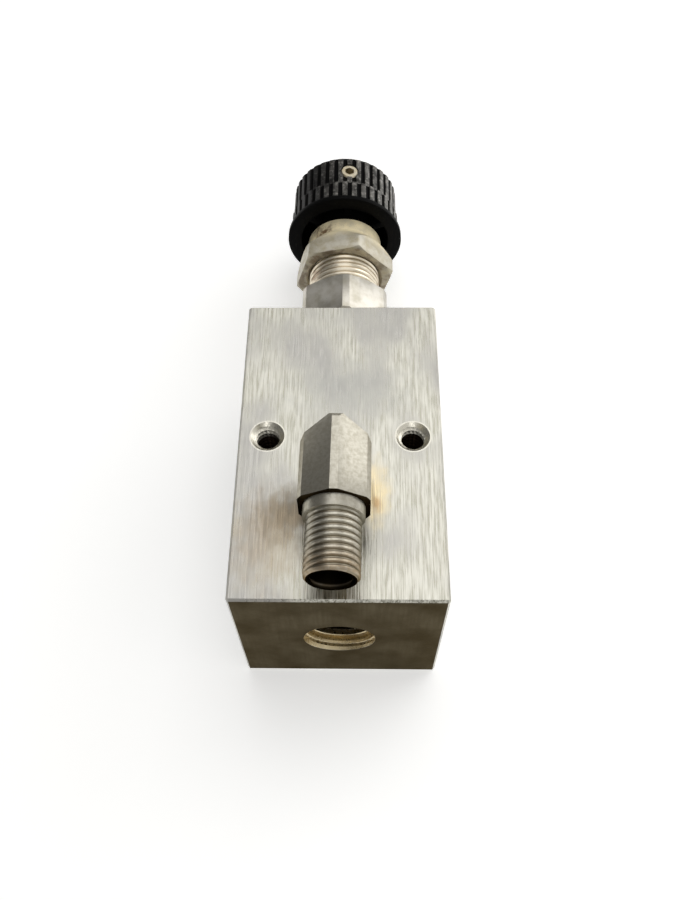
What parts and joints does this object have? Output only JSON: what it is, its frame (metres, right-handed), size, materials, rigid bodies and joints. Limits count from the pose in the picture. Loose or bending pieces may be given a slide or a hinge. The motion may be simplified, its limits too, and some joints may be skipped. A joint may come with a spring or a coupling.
{
  "type": "hydraulic pressure relief valve",
  "caption": "Bar-stock relief valve with an end inlet port, elbow outlet, tapped cross holes, panel-mount bonnet with nut and a fluted black adjusting knob.",
  "frame": {"origin": "halfway between the two mounting holes, on the block's flat back face", "axes": "+Y along the valve's axis from the inlet port to the knob, +Z out of the front face that carries the outlet elbow, +X to the right seen from the front"},
  "size_m": [0.0444, 0.1353, 0.062],
  "materials": {
    "block_steel": "ground",
    "fitting_steel": "machined",
    "bonnet_steel": "machined",
    "nut_steel": "machined",
    "hard_steel": "ground",
    "spring_steel": "drawn",
    "seal_rubber": "smooth",
    "ring_plastic": "smooth",
    "knob_plastic": "moulded",
    "insert_brass": "machined",
    "screw_steel": "machined"
  },
  "bodies": {
    "valve_body": {"valve_block": "block_steel", "elbow_fitting": "fitting_steel", "seat_insert": "hard_steel", "seat_seal": "seal_rubber", "bonnet": "bonnet_steel", "bonnet_seal": "seal_rubber", "main_spring": "spring_steel"},
    "poppet_group": {"poppet": "hard_steel", "lower_spring_guide": "hard_steel", "guide_ring": "ring_plastic"},
    "spring_carrier": {"upper_spring_guide": "hard_steel", "thrust_disc": "hard_steel"},
    "adjuster": {"adjusting_stem": "hard_steel", "stem_seal": "seal_rubber", "stem_backup_ring": "ring_plastic", "stem_stop_ring": "spring_steel", "knob": "knob_plastic", "knob_insert": "insert_brass", "knob_set_screw": "screw_steel"},
    "panel_nut": {"panel_nut": "nut_steel"}
  },
  "joints": [
    {"name": "poppet_lift", "type": "slide", "parent": "valve_body", "child": "poppet_group", "axis": [0, 1, 0], "range_m": [0, 0.002], "stiffness_N_per_m": 4000, "springref_m": -0.001, "deforming": ["main_spring"]},
    {"name": "adjuster_travel", "type": "slide", "parent": "valve_body", "child": "spring_carrier", "axis": [0, 1, 0], "range_m": [-0.00097, 0.00388], "deforming": ["main_spring"]},
    {"name": "knob_turn", "type": "hinge", "parent": "spring_carrier", "child": "adjuster", "pos_m": [0, 0.0811, 0.02223], "axis": [0, 1, 0], "range_deg": [-330, 1320]},
    {"name": "panel_nut_travel", "type": "slide", "parent": "valve_body", "child": "panel_nut", "axis": [0, 1, 0], "range_m": [-0.0081, 0]}
  ],
  "couplings": [
    {"joint": "knob_turn", "follows": "adjuster_travel", "rad_per_m": 5937}
  ]
}
